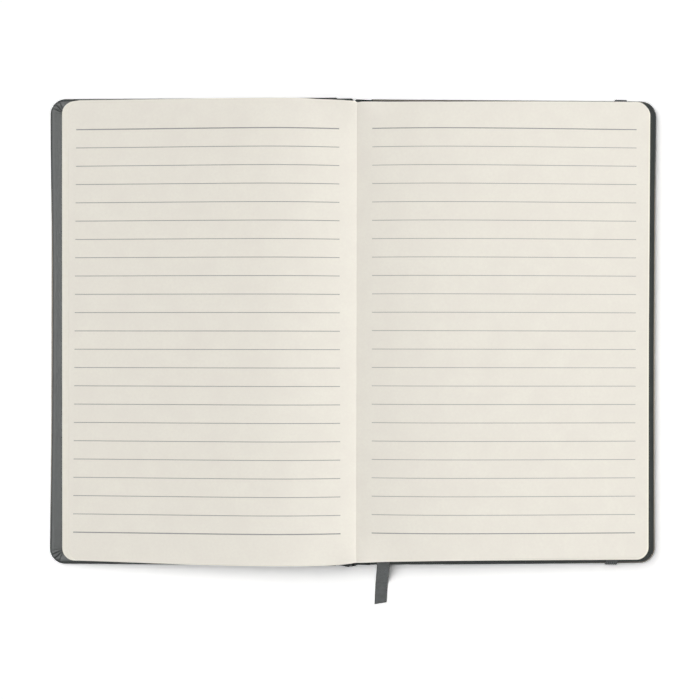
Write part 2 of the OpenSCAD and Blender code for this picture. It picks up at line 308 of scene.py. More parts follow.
# At the tail the fold and the front joint hang out, fading over a share of the height
TAIL_LIP = 1.3
JOINT_LIP = 0.7
JOINT_LIP_X = -2.3
JOINT_LIP_W = 4
LIP_REACH = 0.25
# At the head the fold closes, over the last share of the height
HEAD_PINCH = 0.9
PINCH_W = 4
PINCH_FROM = 0.986


def rounded(a, b, c, r, steps=8):
    """Points of a round bend at b on the way from a to c."""
    a, b, c = (Vector(p) for p in (a, b, c))
    u, v = (a - b).normalized(), (c - b).normalized()
    half = math.acos(max(-1, min(1, u.dot(v)))) / 2
    middle = b + (u + v).normalized() * r / math.sin(half)
    start, end = b + u * r / math.tan(half) - middle, b + v * r / math.tan(half) - middle
    return [middle + r * start.lerp(end, i / steps).normalized() for i in range(steps + 1)]


def spine_line(side):
    """Middle of the spine's covering, from a cover's hinge line to the bottom of the fold."""
    s, r = SIGN[side], FOLD_R - SKIN_T / 2
    crest = Vector((s * FOLD_HALF_W, BEND_Z[side]))
    away = crest - Vector((0, FOLD_R))
    lean = math.atan2(away.y, s * away.x) - math.acos(r / away.length)
    turn = [
        Vector((s * r * math.cos(a), FOLD_R + r * math.sin(a)))
        for a in np.linspace(lean, -math.pi / 2, 9)
    ]
    start = Vector(section_of(side, 0, SKIN_T / 2))
    leave = Vector(section_of(side, -0.5, SKIN_T / 2))
    bend = rounded(leave, crest, turn[0], BEND_R)
    joint = [leave.lerp(bend[0], i / JOINT_STEPS) for i in range(JOINT_STEPS)]
    wall = [bend[-1].lerp(turn[0], i / 6) for i in range(1, 6)]
    return [start, *joint, *bend, *wall, *turn]


def beside(line, gap):
    """A line moved to its left."""
    moved = []
    for i, p in enumerate(line):
        out = (line[min(i + 1, len(line) - 1)] - line[max(i - 1, 0)]).normalized()
        moved.append(p + Vector((-out.y, out.x)) * gap)
    return moved


def swept_along_y(name, loop, length, material, turn):
    """A closed section from tail to head. Its fold hangs out at the tail and closes at the head."""
    points = []
    shares_up = [*np.linspace(0, PINCH_FROM, 42), 0.993, 1]
    rows = len(shares_up)
    for share in shares_up:
        near_tail = max(0, 1 - share / LIP_REACH) ** 2
        near_head = max(0, (share - PINCH_FROM) / (1 - PINCH_FROM))
        for p in loop:
            lip = TAIL_LIP * near_tail * max(0, 1 - p.y / BEND_Z["back"])
            lip += JOINT_LIP * near_tail * max(0, 1 - abs(p.x - JOINT_LIP_X) / JOINT_LIP_W)
            lip += TAIL_OUT["back"][1][0] * (1 - share)
            pinch = HEAD_PINCH * near_head * max(0, 1 - abs(p.x) / PINCH_W)
            points.append(place(p.x * (1 - pinch), (share - 0.5) * length - lip, p.y))
    faces = quads(rows, len(loop), around=True)
    last = (rows - 1) * len(loop)
    faces += [tuple(reversed(range(len(loop)))), tuple(range(last, last + len(loop)))]
    piece = new_piece(name, points, faces, material, turn=turn)
    for face in piece.data.polygons[-2:]:
        face.use_smooth = False
    return piece


for side in ("front", "back"):
    line = spine_line(side)
    section = beside(line, SKIN_T / 2) + beside(line, -SKIN_T / 2)[::-1]
    spine = swept_along_y(f"{side}_spine_covering", section, COVER_H, leather, side == "back")
    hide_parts("spine_skin")
    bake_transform(spine)


# A strip of thin card is glued inside the spine's covering. The sewn and glued
# backs of the leaves carry a strip of open book cloth. Both show only from the
# head and tail of the folded spine, and keep the frame's shapes.

# Card: smooth buff board, pressed finer than the greyboard.
card, tree, shader = new_material("buff_card", Roughness=0.85)
where = add(tree, "ShaderNodeTexCoord").outputs["Object"]
specks = add(tree, "ShaderNodeTexNoise", {"Vector": where, "Scale": 1 / 0.0004, "Detail": 3.0})
tree.links.new(
    blend_colours(tree, specks.outputs["Fac"], "#b3a88f", "#c4baa2"), shader.inputs["Base Color"]
)
dress("spine_inlay", card)

# Mull: stiff open cotton with about one thread to the half millimetre, soaked in glue.
MULL_THREAD = 0.0005
mull, tree, shader = new_material("glued_mull", Roughness=0.7)
where = add(tree, "ShaderNodeTexCoord").outputs["Object"]
warp = add(
    tree, "ShaderNodeTexWave", {"Vector": where, "Scale": 0.5 / MULL_THREAD}, bands_direction="Y"
)
weft = add(
    tree, "ShaderNodeTexWave", {"Vector": where, "Scale": 0.5 / MULL_THREAD}, bands_direction="Z"
)
threads = add(
    tree, "ShaderNodeMath", {0: warp.outputs["Fac"], 1: weft.outputs["Fac"]}, operation="MAXIMUM"
)
tree.links.new(
    blend_colours(tree, threads.outputs["Value"], "#b9ae92", "#dcd5c0"),
    shader.inputs["Base Color"],
)
bump = add(tree, "ShaderNodeBump", {"Height": threads.outputs["Value"], "Distance": 0.0001})
tree.links.new(bump.outputs["Normal"], shader.inputs["Normal"])
dress("spine_lining", mull)


# About a hundred leaves of cream writing paper, folded in sections, sewn and glued
# at the back and trimmed together with round fore-edge corners. Open near the
# middle, each half rises from the gutter over a crest and fans out at its fore-edge.

PAGE_H = 206.4
LEAF_W = 131
PAGE_CORNER = 5.5
GUTTER = Vector((1.15, 10))
WEB = Vector((0.1, 8.9))
LEAF_BOTTOM = 2.95
FORE_LOW = {"front": Vector((-132.1, 3.14616)), "back": Vector((133.8, 3.54539))}
FORE_TOP = {"front": Vector((-128.4, 7.12004)), "back": Vector((131.6, 10.5924))}
CREST = {"front": Vector((GUTTER.x - 35, 14.3)), "back": Vector((GUTTER.x + 42, 13.9))}
FORE_HANDLE = {"front": (0.41, 0.39), "back": (0.3, 0.3)}
CREST_OUT = {"front": 0.19, "back": 0.34}
CREST_IN = {"front": 0.47, "back": 0.5}
GUTTER_HANDLE = {"front": (0.09, 0.36), "back": (0.1, 0.34)}
LEAVES = {"front": 36, "back": 62}
LEAF_GROOVE = 0.04
# At head and tail the open leaves ease up out of the gutter
EASE_UP = 2.3
EASE_LENGTH = 8
EASE_WIDTH = 9
# How the front half's fore-edge fans out: shares of the height and of the way inwards
FAN = {"front": ([0, 0.77, 1], [0, 0.19, 1]), "back": ([0, 0.5, 1], [0, 0.3, 1])}
LEAF_RAGGED = 0.05
LINING_FOOT = 0.9
# How far the leaves' fore-edges reach out at the tail, in the middle and at the head
LEAVES_OUT = {"front": (-0.5, -0.25, 0), "back": (0, 0, 0.5)}
# Where the outermost leaves' head and tail lie, by distance across the spread
HEAD_LINE = [
    (-126, 103.5), (-60, 103.6), (-24, 103.65), (-17, 103.3), (-10, 103.15), (-4, 102.9),
    (0, 102.1), (1.15, 102), (3, 102.3), (9, 102.4), (42, 102.25), (70, 102.5), (83, 102.7), (
        128, 103.1
    ),
]
TAIL_LINE = [
    (-126, 103.0), (-110, 103.3), (-90, 103.75), (-68, 104.25), (-38, 104.5), (-20, 104.5),
    (-10, 104.3), (-5, 103.9), (0, 103.25), (1.15, 103.2), (8, 102.95), (30, 102.3), (60, 101.65),
    (83, 101.5), (128, 101.5),
]


def shares(a, b, part):
    return Vector((a.x + (b.x - a.x) * part[0], a.y + (b.y - a.y) * part[1]))


def bezier(a, b, c, d, steps=40):
    shares_of_way = [i / steps for i in range(steps + 1)]
    return [
        a * (1 - t) ** 3 + b * (3 * (1 - t) ** 2 * t) + c * (3 * (1 - t) * t * t) + d * t**3
        for t in shares_of_way
    ]


def upper_line(side):
    """The open page's section, from the gutter over the crest to the fore-edge."""
    crest, fore = CREST[side], FORE_TOP[side]
    rise = bezier(
        GUTTER,
        shares(GUTTER, crest, GUTTER_HANDLE[side]),
        shares(crest, GUTTER, (CREST_IN[side], 0)),
        crest,
    )
    fall = bezier(
        crest,
        shares(crest, fore, (CREST_OUT[side], 0)),
        shares(fore, crest, FORE_HANDLE[side]),
        fore,
    )
    return rise + fall[1:]


def lower_line(side):
    """The underside of the leaves: down the lining, over the joint and flat on the cover."""
    s = SIGN[side]
    foot = Vector((s * LINING_FOOT, BEND_Z[side] + SKIN_T / 2))
    crest = Vector((s * FOLD_HALF_W, BEND_Z[side] + SKIN_T / 2))
    joint = crest.lerp(Vector(section_of(side, 0, SKIN_T)), 0.7)
    return [WEB, foot, crest, joint, Vector(section_of(side, 0, LEAF_BOTTOM)), FORE_LOW[side]]


def along_line(line, fraction):
    """The point of a line at a fraction of its width across the spread."""
    xs = [p.x for p in line]
    x = xs[0] + (xs[-1] - xs[0]) * fraction
    s = 1 if xs[-1] > xs[0] else -1
    return Vector((x, float(np.interp(s * x, [s * v for v in xs], [p.y for p in line]))))


def end_line(table, x):
    return float(np.interp(x, [p[0] for p in table], [p[1] for p in table]))


def page_columns():
    """Fractions of the way to the fore-edge, close together at the gutter and in the corner."""
    near = [0, 0.002, 0.005, 0.008, 0.014, 0.022, 0.032, 0.044, 0.058, 0.075, 0.095]
    flat = (LEAF_W - PAGE_CORNER) / LEAF_W
    middle = list(np.linspace(0.12, flat, 46))
    corner = [
        flat + PAGE_CORNER / LEAF_W * math.sin(a) for a in np.linspace(0, math.pi / 2, 17)[1:]
    ]
    return near + middle, corner


def leaf_end(fraction, x, level, table):
    """How far a leaf reaches towards head or tail at a fraction of its width."""
    reach = PAGE_H / 2 + (end_line(table, x) - PAGE_H / 2) * level
    past = (fraction * LEAF_W - (LEAF_W - PAGE_CORNER)) / PAGE_CORNER
    if past > 0:
        reach -= PAGE_CORNER * (1 - math.sqrt(max(0, 1 - past * past)))
    return reach


def page_half(side, rng):
    """Points and faces of one half of the leaves, from the gutter to the fore-edge."""
    upper, lower = upper_line(side), lower_line(side)
    fractions = sum(page_columns(), [])
    rows = 33
    points, faces = [], []

    def spot(fraction, share, level, height=None, draw_in=0):
        """A point at a share of the way from tail to head, on the outline of a leaf."""
        low, high = along_line(lower, fraction), along_line(upper, fraction)
        height = level if height is None else height
        x = low.x + (high.x - low.x) * level
        z = low.y + (high.y - low.y) * height
        head = leaf_end(fraction, x, level, HEAD_LINE) - draw_in
        tail = -leaf_end(fraction, x, level, TAIL_LINE) + draw_in
        y = tail + (head - tail) * share
        to_end = min(head - y, y - tail) / EASE_LENGTH
        z += EASE_UP * height * math.exp(-(to_end**2) - ((x - GUTTER.x) / EASE_WIDTH) ** 2)
        out = float(np.interp(share, (0, 0.5, 1), LEAVES_OUT[side])) - draw_in
        x += SIGN[side] * out * fraction**8
        return place(x, y, z)

    def surface(level, shares_of_height):
        first = len(points)
        for share in shares_of_height:
            points.extend(spot(f, share, level) for f in fractions)
        return first

    columns = len(fractions)
    top = surface(1, [(1 - math.cos(math.pi * r / (rows - 1))) / 2 for r in range(rows)])
    faces += quads(rows, columns, top)
    bottom = surface(0, [0, 1])
    faces += [f[::-1] for f in quads(2, columns, bottom)]

    # Outline of a leaf: the tail from the gutter, the fore-edge, then the head back to it
    fore_shares = list(np.linspace(0, 1, 25)[1:-1])
    outline = [(f, 0) for f in fractions] + [(1, s) for s in fore_shares]
    outline += [(f, 1) for f in reversed(fractions)]
    around = len(outline)
    rings = []

    def ring(reach, height, draw_in):
        level = float(np.interp(reach, *FAN[side]))
        rings.append(len(points))
        points.extend(spot(f, share, level, height, draw_in) for f, share in outline)

    # Each leaf's edge goes straight down to the next leaf, which reaches a little further
    leaves, ragged = LEAVES[side], 0
    ring(1, 1, 0)
    for i in range(leaves):
        height = 1 - (i + 1) / leaves
        ring(1 - i / leaves, height, ragged + LEAF_GROOVE)
        ragged = rng.uniform(0, LEAF_RAGGED) if height > 0 else 0
        ring(height, height, ragged)
    cut_from = len(faces)
    for a, b in zip(rings, rings[1:]):
        for c in range(around - 1):
            faces.append((a + c, b + c, b + c + 1, a + c + 1))
    return points, faces, [int(i >= cut_from) for i in range(len(faces))]


rng = np.random.default_rng(7)


# Writing paper: uncoated cream stock, matt, with a faint cloudiness of short fibres.
FIBRE = 0.0012
CLOUD = 0.011
paper, tree, shader = new_material("cream_writing_paper", Roughness=0.88, IOR=1.45)
shader.inputs["Specular IOR Level"].default_value = 0.3
where = add(tree, "ShaderNodeTexCoord").outputs["Object"]
cloud = add(tree, "ShaderNodeTexNoise", {"Vector": where, "Scale": 1 / CLOUD, "Detail": 3.0})
fibre = add(
    tree,
    "ShaderNodeTexNoise",
    {"Vector": where, "Scale": 1 / FIBRE, "Detail": 6.0, "Roughness": 0.6},
)
tone = add(
    tree,
    "ShaderNodeMath",
    {0: cloud.outputs["Fac"], 1: fibre.outputs["Fac"]},
    operation="MULTIPLY",
)
spread = add(
    tree, "ShaderNodeMapRange", {"Value": tone.outputs["Value"], "From Min": 0.12, "From Max": 0.4}
)
tree.links.new(
    blend_colours(tree, spread.outputs["Result"], "#e6e1d7", "#eae6db"),
    shader.inputs["Base Color"],
)
bump = add(
    tree, "ShaderNodeBump", {"Height": fibre.outputs["Fac"], "Distance": 0.00003, "Strength": 0.6}
)
tree.links.new(bump.outputs["Normal"], shader.inputs["Normal"])

# Trimmed edges: the same paper where the knife cut it, painted lighter than the pages. The lighter
# colour is painted light that brightens the fanned fore-edges.
trimmed, tree, shader = new_material("trimmed_edges_painted_lighter", Roughness=0.95, Specular_IOR_Level=0.2)
where = add(tree, "ShaderNodeTexCoord").outputs["Object"]
cut = add(tree, "ShaderNodeTexNoise", {"Vector": where, "Scale": 1 / FIBRE, "Detail": 4.0})
tree.links.new(
    blend_colours(tree, cut.outputs["Fac"], "#f0ecdf", "#f8f5ec"), shader.inputs["Base Color"]
)

all_points, all_faces, is_cut = [], [], []
for side in ("front", "back"):
    half_points, half_faces, half_cut = page_half(side, rng)
    is_cut += half_cut
    first = len(all_points)
    all_points += half_points
    turn = side == "front"
    all_faces += [tuple(first + i for i in (f[::-1] if turn else f)) for f in half_faces]
leaves = new_piece("leaves", all_points, all_faces, paper)
# The cut faces take the trimmed paper, whose lighter colour is painted light on the fanned edges.
leaves.data.materials.append(trimmed)
leaves.data.polygons.foreach_set("material_index", is_cut)


def weld(piece, gap=1e-6):
    """Joins the points that lie on each other."""
    grid = bmesh.new()
    grid.from_mesh(piece.data)
    bmesh.ops.remove_doubles(grid, verts=grid.verts, dist=gap)
    bmesh.ops.dissolve_degenerate(grid, dist=1e-7, edges=grid.edges)
    grid.to_mesh(piece.data)
    grid.free()
    piece.data.update()


weld(leaves)
leaves.data.set_sharp_from_angle(angle=math.radians(35))
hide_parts("page_block")
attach(leaves, "book")

# Pasted-down endpapers: the same cream stock, a little heavier, glued flat on the boards.
for side in ("front", "back"):
    dress(f"{side}_endpaper", paper)


# Thin grey lines are printed on both open pages, the first and the last of them
# heavier. Each is a strip of ink that is laid down on the page's curved surface.

RULES = 23
RULE_PITCH = 8.21
RULE_LENGTH = 118
RULE_STEPS = 96
RULE_W = {"front": 0.3, "back": 0.24}
HEAVY_RULE_W = {"front": 0.5, "back": 0.42}
INK_T = 0.04
RULE_START = {"front": GUTTER.x - 7.9 - RULE_LENGTH, "back": GUTTER.x + 6.9}
RULE_RISE = {"front": 0, "back": 0.3}
# The left page lies a little higher at the tail, which draws its rules out there
RULE_STEP_X = {"front": 0.05, "back": 0}
TAIL_STRETCH = {"front": 1.017, "back": 1}
HEAD_STRETCH = {"front": 1, "back": 1.004}

# Offset ink: thin matt grey that lets the paper's tone through at its edges.
ink, tree, shader = new_material("grey_offset_ink", Roughness=0.8)
where = add(tree, "ShaderNodeTexCoord").outputs["Object"]
screen = add(tree, "ShaderNodeTexNoise", {"Vector": where, "Scale": 1 / 0.0008, "Detail": 2.0})
tree.links.new(
    blend_colours(tree, screen.outputs["Fac"], "#8b8b8a", "#9f9e9b"), shader.inputs["Base Color"]
)


def input_of(tree, name, kind, value=None):
    """A named input of a Geometry Nodes tree."""
    made = tree.interface.new_socket(name=name, in_out="INPUT", socket_type=kind)
    if value is not None:
        made.default_value = value
    return made


def ruling_tree():
    """Straight strips, one per line, instanced down the page and dropped onto its surface."""
    tree = bpy.data.node_groups.new("ruled_page", "GeometryNodeTree")
    tree.interface.new_socket(name="Geometry", in_out="OUTPUT", socket_type="NodeSocketGeometry")
    input_of(tree, "Page", "NodeSocketObject")
    input_of(tree, "Ink", "NodeSocketMaterial")
    input_of(tree, "Lines", "NodeSocketInt", 23)
    input_of(tree, "First Corner", "NodeSocketVector")
    input_of(tree, "Step Along", "NodeSocketVector")
    input_of(tree, "Step Down", "NodeSocketVector")
    input_of(tree, "Width", "NodeSocketFloat", 0.0003)
    input_of(tree, "Heavy Width", "NodeSocketFloat", 0.0005)
    input_of(tree, "Thickness", "NodeSocketFloat", 0.00004)
    input_of(tree, "First Length", "NodeSocketFloat", 1)
    input_of(tree, "Last Length", "NodeSocketFloat", 1)
    got = add(tree, "NodeGroupInput").outputs
    along = add(
        tree,
        "GeometryNodeMeshLine",
        {"Count": RULE_STEPS + 1, "Start Location": (0, 0, 0), "Offset": got["Step Along"]},
    )
    curve = add(tree, "GeometryNodeMeshToCurve", {"Mesh": along.outputs["Mesh"]})
    section = add(
        tree,
        "GeometryNodeCurvePrimitiveQuadrilateral",
        {"Width": got["Width"], "Height": got["Thickness"]},
    )
    strip = add(
        tree,
        "GeometryNodeCurveToMesh",
        {
            "Curve": curve.outputs["Curve"],
            "Profile Curve": section.outputs["Curve"],
            "Fill Caps": True,
        },
    )
    down = add(
        tree,
        "GeometryNodeMeshLine",
        {"Count": got["Lines"], "Start Location": got["First Corner"], "Offset": got["Step Down"]},
    )
    index = add(tree, "GeometryNodeInputIndex").outputs["Index"]
    last = add(tree, "ShaderNodeMath", {0: got["Lines"], 1: 1.0}, operation="SUBTRACT")
    half = add(tree, "ShaderNodeMath", {0: last.outputs["Value"], 1: 2.0}, operation="DIVIDE")
    from_middle = add(
        tree, "ShaderNodeMath", {0: index, 1: half.outputs["Value"]}, operation="SUBTRACT"
    )
    distance = add(tree, "ShaderNodeMath", {0: from_middle.outputs["Value"]}, operation="ABSOLUTE")
    outermost = add(
        tree,
        "ShaderNodeMath",
        {0: distance.outputs["Value"], 1: half.outputs["Value"], 2: 0.1},
        operation="COMPARE",
    )
    heavier = add(
        tree, "ShaderNodeMath", {0: got["Heavy Width"], 1: got["Width"]}, operation="DIVIDE"
    )
    stretch = add(
        tree,
        "ShaderNodeMapRange",
        {"Value": outermost.outputs["Value"], "To Min": 1.0, "To Max": heavier.outputs["Value"]},
    )
    length = add(
        tree,
        "ShaderNodeMapRange",
        {
            "Value": index,
            "From Max": last.outputs["Value"],
            "To Min": got["First Length"],
            "To Max": got["Last Length"],
        },
    )
    scale = add(
        tree,
        "ShaderNodeCombineXYZ",
        {"X": length.outputs["Result"], "Y": stretch.outputs["Result"], "Z": 1.0},
    )
    placed = add(
        tree,
        "GeometryNodeInstanceOnPoints",
        {
            "Points": down.outputs["Mesh"],
            "Instance": strip.outputs["Mesh"],
            "Scale": scale.outputs["Vector"],
        },
    )
    real = add(tree, "GeometryNodeRealizeInstances", {"Geometry": placed.outputs["Instances"]})
    page = add(tree, "GeometryNodeObjectInfo", {"Object": got["Page"]}, transform_space="RELATIVE")
    position = add(tree, "GeometryNodeInputPosition").outputs["Position"]
    parts = add(tree, "ShaderNodeSeparateXYZ", {"Vector": position}).outputs
    above = add(tree, "ShaderNodeVectorMath", {0: position, 1: (0, 0, 0.05)}, operation="ADD")
    hit = add(
        tree,
        "GeometryNodeRaycast",
        {
            "Target Geometry": page.outputs["Geometry"],
            "Source Position": above.outputs["Vector"],
            "Ray Direction": (0, 0, -1),
            "Ray Length": 0.2,
        },
    )
    lift = add(tree, "ShaderNodeCombineXYZ", {"Z": parts["Z"]})
    landed = add(
        tree,
        "ShaderNodeVectorMath",
        {0: hit.outputs["Hit Position"], 1: lift.outputs["Vector"]},
        operation="ADD",
    )
    laid = add(
        tree,
        "GeometryNodeSetPosition",
        {"Geometry": real.outputs["Geometry"], "Position": landed.outputs["Vector"]},
    )
    inked = add(
        tree,
        "GeometryNodeSetMaterial",
        {"Geometry": laid.outputs["Geometry"], "Material": got["Ink"]},
    )
    add(tree, "NodeGroupOutput", {"Geometry": inked.outputs["Geometry"]})
    return tree


def grown(name, tree, values):
    """A piece made by a Geometry Nodes tree, as a plain mesh."""
    maker = bpy.data.objects.new(name + "_maker", bpy.data.meshes.new(name + "_maker"))
    bpy.context.scene.collection.objects.link(maker)
    modifier = maker.modifiers.new(name, "NODES")
    modifier.node_group = tree
    for item in tree.interface.items_tree:
        if item.in_out == "INPUT" and item.name in values:
            modifier[item.identifier] = values[item.name]
    seen = maker.evaluated_get(bpy.context.evaluated_depsgraph_get())
    mesh = bpy.data.meshes.new_from_object(seen)
    mesh.name = name
    bpy.data.objects.remove(maker)
    piece = bpy.data.objects.new(name, mesh)
    bpy.context.scene.collection.objects.link(piece)
    return piece


ruled_page = ruling_tree()
for side in ("front", "back"):
    lowest = -(RULES - 1) / 2 * RULE_PITCH + RULE_RISE[side]
    rules = grown(
        f"{side}_ruled_lines",
        ruled_page,
        {
            "Page": leaves,
            "Ink": ink,
            "Lines": RULES,
            "First Corner": place(
                RULE_START[side] - RULE_STEP_X[side] * (RULES - 1), lowest, INK_T / 2
            ),
            "Step Along": (RULE_LENGTH / RULE_STEPS * MM, 0, 0),
            "Step Down": (RULE_STEP_X[side] * MM, RULE_PITCH * MM, 0),
            "Width": RULE_W[side] * MM,
            "Heavy Width": HEAVY_RULE_W[side] * MM,
            "Thickness": INK_T * MM,
            "First Length": TAIL_STRETCH[side],
            "Last Length": HEAD_STRETCH[side],
        },
    )
    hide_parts(f"{side}_page_rules")
    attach(rules, "book")


# A woven rayon ribbon is glued to the back of the leaves at the head. It lies
# between two leaves, comes out at the tail over the back cover's edge and rests
# on the table, with its cut end left slightly slanted.

RIBBON_W = 5.9
RIBBON_T = 0.3
RIBBON_X = 10.6
RIBBON_HEAD_X = 4.2
RIBBON_INSIDE = 198
RIBBON_TAIL = 19.2
RIBBON_END_W = 5.5
RIBBON_LEAN = 0.9
RIBBON_CUT = 0.9
RIBBON_Z = 6.832
RIBBON_DROP = 8
RIBBON_BEND = 3
RIBBON_RIBS = 13
RIBBON_PICKS = 42
RIBBON_STEPS = 18
# Bands that a wave texture draws over one unit at a scale of 1
WAVE_BANDS = 3.2

# Rayon satin: dark grey, with fine ribs along its length and denser edges.
satin, tree, shader = new_material("woven_rayon_ribbon", Roughness=0.6)
shader.inputs["Sheen Weight"].default_value = 0.25
shader.inputs["Sheen Roughness"].default_value = 0.4
uv = add(tree, "ShaderNodeUVMap", uv_map="weave").outputs["UV"]
across = add(tree, "ShaderNodeSeparateXYZ", {"Vector": uv}).outputs
ribs = add(
    tree,
    "ShaderNodeTexWave",
    {"Vector": uv, "Scale": RIBBON_RIBS / WAVE_BANDS, "Distortion": 0.6, "Detail": 2.0},
    bands_direction="X",
)
picks = add(
    tree,
    "ShaderNodeTexWave",
    {"Vector": uv, "Scale": RIBBON_PICKS / WAVE_BANDS, "Distortion": 0.8, "Detail": 2.0},
    bands_direction="Y",
)
weave = add(
    tree, "ShaderNodeMath", {0: ribs.outputs["Fac"], 1: picks.outputs["Fac"]}, operation="ADD"
)
mottle = add(tree, "ShaderNodeTexNoise", {"Vector": uv, "Scale": 3.0, "Detail": 4.0})
tone = add(
    tree,
    "ShaderNodeMath",
    {0: weave.outputs["Value"], 1: mottle.outputs["Fac"]},
    operation="MULTIPLY",
)
tree.links.new(
    blend_colours(tree, tone.outputs["Value"], "#202323", "#505454"), shader.inputs["Base Color"]
)
bump = add(
    tree,
    "ShaderNodeBump",
    {"Height": weave.outputs["Value"], "Distance": 0.00006, "Strength": 0.7},
)
tree.links.new(bump.outputs["Normal"], shader.inputs["Normal"])


def ribbon_run():
    """The ribbon's middle seen from the side, from its glued end to its cut end."""
    edge = -COVER_H / 2 - RIBBON_BEND / 2
    end = -COVER_H / 2 - RIBBON_TAIL
    glued = Vector((RIBBON_INSIDE - PAGE_H / 2, RIBBON_Z))
    lip = Vector((edge, RIBBON_Z))
    foot = Vector((edge - RIBBON_DROP, RIBBON_T / 2))
    cut = Vector((end, RIBBON_T / 2))
    over_edge = rounded(glued, lip, foot, RIBBON_BEND)
    onto_table = rounded(lip, foot, cut, RIBBON_BEND)
    inside = [glued.lerp(over_edge[0], i / 40) for i in range(40)]
    fall = [over_edge[-1].lerp(onto_table[0], i / 5) for i in range(1, 5)]
    flat = [onto_table[-1].lerp(cut, i / 8) for i in range(1, 9)]
    return inside + over_edge + fall + onto_table + flat


def ribbon_side(y):
    """Distance of the ribbon's near edge from the fold at a place along it, and its width."""
    end = -COVER_H / 2 - RIBBON_TAIL
    places = [end, -PAGE_H / 2, RIBBON_INSIDE - PAGE_H / 2]
    near = float(np.interp(y, places, [RIBBON_X - RIBBON_LEAN, RIBBON_X, RIBBON_HEAD_X]))
    return near, float(np.interp(y, places[:2], [RIBBON_END_W, RIBBON_W]))


def make_ribbon():
    run = ribbon_run()
    points, weave_at = [], []
    length = 0
    for i, p in enumerate(run):
        length += (p - run[i - 1]).length if i else 0
        ahead, behind = run[min(i + 1, len(run) - 1)], run[max(i - 1, 0)]
        out = (ahead - behind).normalized()
        normal = Vector((out.y, -out.x))
        if normal.y < 0:
            normal = -normal
        for layer in (1, -1):
            for j in range(RIBBON_STEPS + 1):
                t = j / RIBBON_STEPS
                rim = min(t, 1 - t) * RIBBON_STEPS
                thick = RIBBON_T / 2 * (0.35 if rim == 0 else 1.25 if rim <= 1.5 else 0.9)
                cut = RIBBON_CUT * t if i == len(run) - 1 else 0
                spot = p + normal * (thick * layer if layer > 0 else max(-RIBBON_T / 2, -thick))
                near, width = ribbon_side(p.x)
                points.append(place(near + width * t, spot.x + cut, spot.y))
                weave_at.append((t, length / RIBBON_W))
    row = 2 * (RIBBON_STEPS + 1)
    ring = list(range(RIBBON_STEPS + 1)) + [row - 1 - j for j in range(RIBBON_STEPS + 1)]
    faces = []
    for i in range(len(run) - 1):
        for j in range(row):
            a, b = ring[j], ring[(j + 1) % row]
            faces.append((i * row + a, (i + 1) * row + a, (i + 1) * row + b, i * row + b))
    last = (len(run) - 1) * row
    faces.append(tuple(ring))
    faces.append(tuple(last + j for j in reversed(ring)))
    piece = new_piece("ribbon", points, faces, satin, turn=True)
    layer = piece.data.uv_layers.new(name="weave")
    for loop in piece.data.loops:
        layer.data[loop.index].uv = weave_at[loop.vertex_index]
    return piece


ribbon = make_ribbon()
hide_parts("ribbon_marker")
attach(ribbon, "book")


# A flat woven elastic runs down the outside of the back cover. Its two ends turn
# round the head and tail and are glued under the endpaper. Covered rubber cords
# run along it side by side, which makes its ribbed face.

BAND_W = 5.3
BAND_T = 0.8
BAND_X = 111.35
BAND_SKEW = math.radians(1.15)
BAND_END = 14
BAND_SLACK = -0.1
CORDS = 6

# Elastic: black-grey polyester yarn wound round rubber, dull, with fine cross threads.
THREAD = 0.0005
elastic, tree, shader = new_material("covered_rubber_elastic", Roughness=0.75)
shader.inputs["Sheen Weight"].default_value = 0.2
where = add(tree, "ShaderNodeTexCoord").outputs["Object"]
winds = add(
    tree,
    "ShaderNodeTexWave",
    {"Vector": where, "Scale": 0.31 / THREAD, "Distortion": 0.5},
    bands_direction="Y",
)
fuzz = add(tree, "ShaderNodeTexNoise", {"Vector": where, "Scale": 1 / 0.0009, "Detail": 4.0})
tone = add(
    tree, "ShaderNodeMath", {0: winds.outputs["Fac"], 1: fuzz.outputs["Fac"]}, operation="MULTIPLY"
)
tree.links.new(
    blend_colours(tree, tone.outputs["Value"], "#353a3b", "#535a5c"), shader.inputs["Base Color"]
)
bump = add(
    tree, "ShaderNodeBump", {"Height": winds.outputs["Fac"], "Distance": 0.00006, "Strength": 0.7}
)
tree.links.new(bump.outputs["Normal"], shader.inputs["Normal"])


def band_path():
    """The band's middle, seen from the side: y and height on the back cover."""
    out = COVER_H / 2 + BAND_SLACK + BAND_T / 2
    inner = CASE_T + BAND_T / 2
    end = COVER_H / 2 - BAND_END
    r = EDGE_R + BAND_T / 2
    corners = [
        (end, inner),
        (out, inner),
        (out, -BAND_T / 2),
        (-out, -BAND_T / 2),
        (-out, inner),
        (-end, inner),
    ]
    path = [Vector(corners[0])]
    for i in range(1, 5):
        path += rounded(corners[i - 1], corners[i], corners[i + 1], r)
    return path + [Vector(corners[5])]


